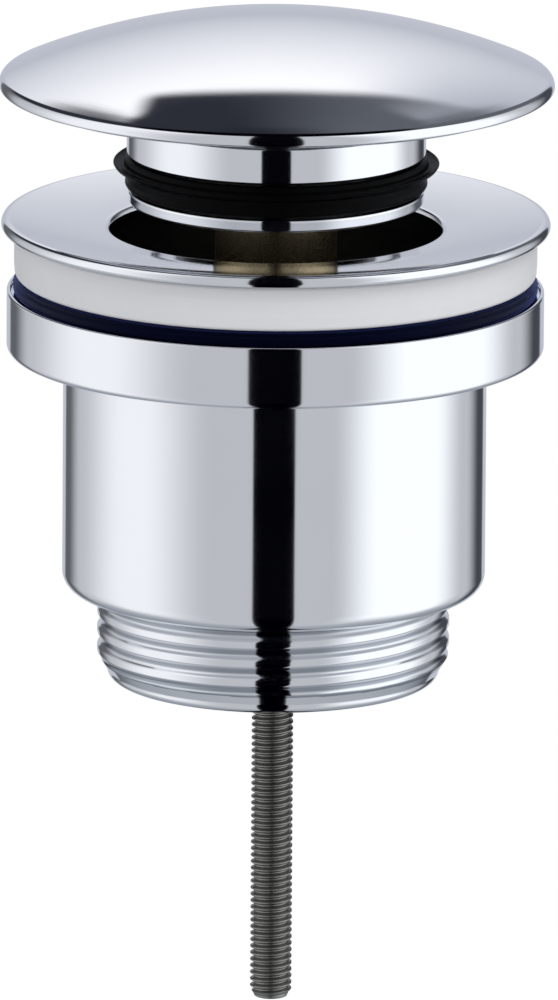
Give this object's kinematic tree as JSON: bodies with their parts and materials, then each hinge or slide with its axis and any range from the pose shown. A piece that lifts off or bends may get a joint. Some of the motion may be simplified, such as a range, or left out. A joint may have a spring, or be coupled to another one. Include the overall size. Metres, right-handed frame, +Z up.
{
  "type": "pop up basin waste",
  "caption": "Push-open basin waste with a domed plug on a sprung cartridge, a dished flange, and a collared threaded tail clamped by a long centre bolt.",
  "frame": {"origin": "on the axis, in the plane where the flange's rim rests on its gasket", "axes": "+Z up along the axis, from the tail towards the plug; X and Y along the arms of the spiders"},
  "size_m": [0.0658, 0.0658, 0.1193],
  "materials": {
    "chrome": "polished chrome plate on brass",
    "brass": "turned, unplated",
    "zinc_steel": "rolled thread, grey zinc",
    "spring_steel": "drawn stainless wire",
    "white_gasket": "smooth satin",
    "navy_rubber": "smooth satin",
    "black_rubber": "moulded, slight gloss",
    "acetal": "moulded, natural white"
  },
  "bodies": {
    "waste": {"basin_flange": "chrome", "flange_gasket": "white_gasket", "cartridge_stem": "brass", "stem_washer": "acetal", "latch_clip": "spring_steel", "cartridge_spring": "spring_steel"},
    "plug": {"plug_dome": "chrome", "plug_body": "chrome", "plug_seal": "black_rubber", "seal_retainer": "chrome", "cartridge_sleeve": "brass", "cartridge_cap": "brass", "lock_nut": "brass", "stop_ring": "brass"},
    "latch": {"latch_ring": "acetal"},
    "clamp": {"clamp_bolt": "zinc_steel", "bolt_washer": "zinc_steel"},
    "tail": {"tail_body": "chrome", "bolt_bush": "brass", "under_basin_seal": "navy_rubber"}
  },
  "joints": [
    {"name": "plug_slide", "type": "slide", "parent": "waste", "child": "plug", "axis": [0, 0, 1], "range_m": [-0.01, 0], "stiffness_N_per_m": 350, "springref_m": 0.015, "deforming": ["cartridge_spring"]},
    {"name": "latch_turn", "type": "hinge", "parent": "waste", "child": "latch", "pos_m": [0, 0, -0.00445], "axis": [0, 0, 1], "continuous": true},
    {"name": "clamp_turn", "type": "hinge", "parent": "waste", "child": "clamp", "pos_m": [0, 0, -0.0312], "axis": [0, 0, 1], "range_deg": [0, 18000]},
    {"name": "tail_slide", "type": "slide", "parent": "waste", "child": "tail", "axis": [0, 0, 1], "range_m": [-0.04, 0]}
  ],
  "couplings": [
    {"joint": "clamp_turn", "follows": "tail_slide", "rad_per_m": -7853.9}
  ]
}
